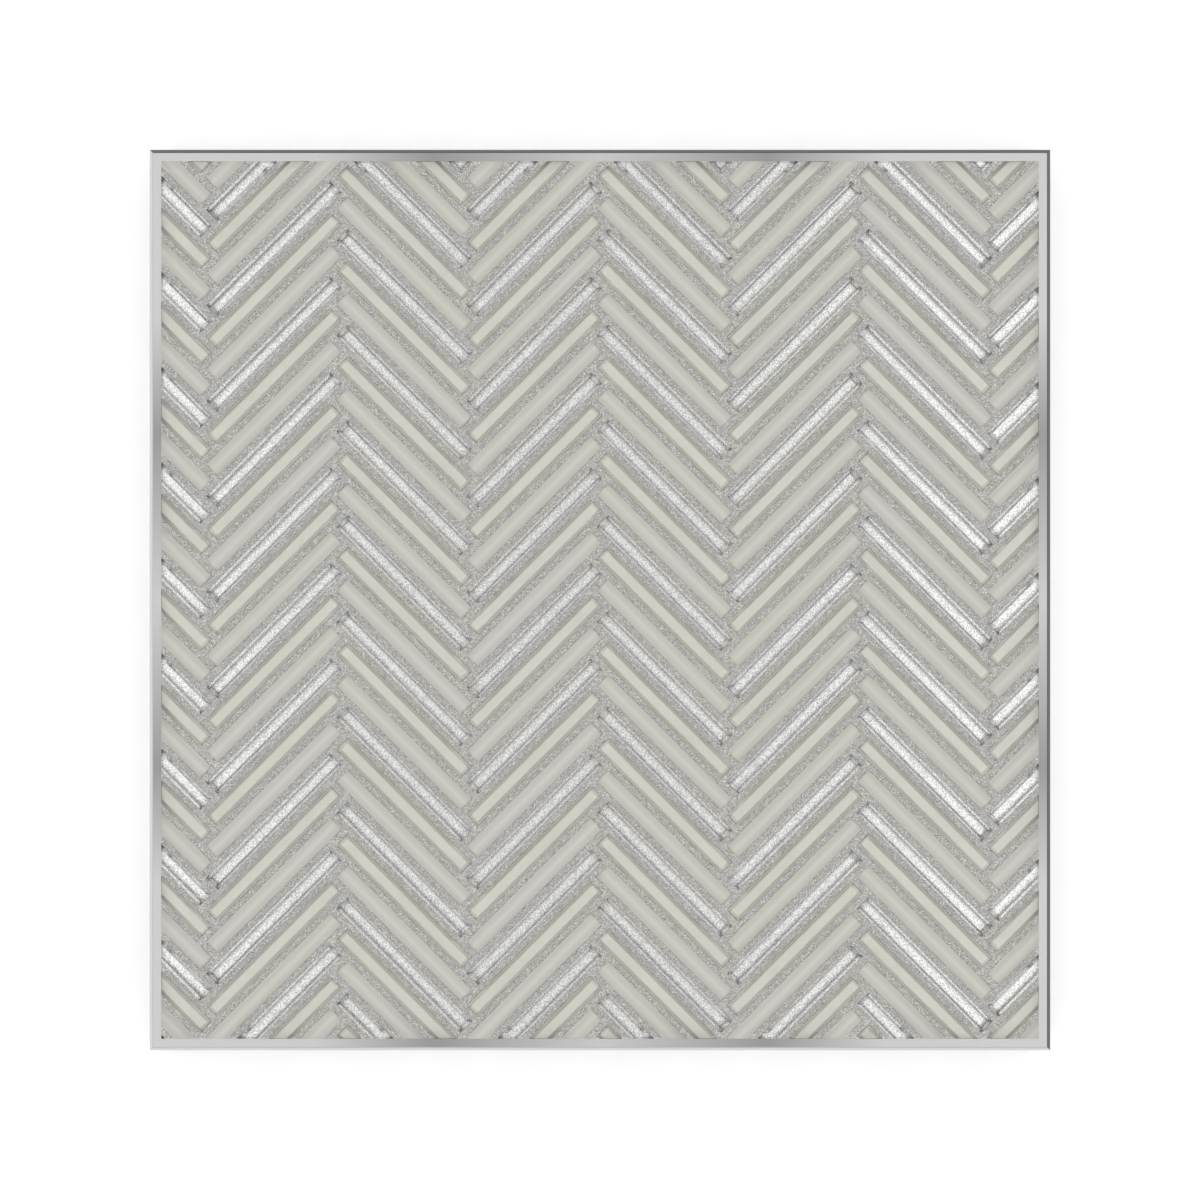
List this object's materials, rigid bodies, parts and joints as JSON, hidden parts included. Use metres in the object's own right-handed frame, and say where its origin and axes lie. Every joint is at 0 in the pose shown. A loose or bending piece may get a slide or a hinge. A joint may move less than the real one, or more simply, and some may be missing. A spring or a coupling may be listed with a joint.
{
  "type": "herringbone mosaic tile",
  "caption": "Square herringbone mosaic panel: narrow glass strips in silver, cream and frosted finishes, set in pale grout within a slim metal frame.",
  "frame": {"origin": "middle of the underside, on the plane of the frame's back flanges", "axes": "+Z out of the face, +Y to the top of the face, +X to its right"},
  "size_m": [0.308, 0.308, 0.0152],
  "materials": {
    "silver_glass": "glossy, silver foil behind the glass",
    "cream_glass": "glossy, cream paint behind the glass",
    "frosted_glass": "etched satin, pale paint behind the glass",
    "grout": "matte, fine grain",
    "adhesive": "matte",
    "board": "matte",
    "frame": "satin"
  },
  "bodies": {
    "root": {"silver_strips": "silver_glass", "cream_strips": "cream_glass", "frosted_strips": "frosted_glass", "grout": "grout", "adhesive_bed": "adhesive", "backing_board": "board", "frame_top": "frame", "frame_right": "frame", "frame_bottom": "frame", "frame_left": "frame"}
  },
  "joints": []
}
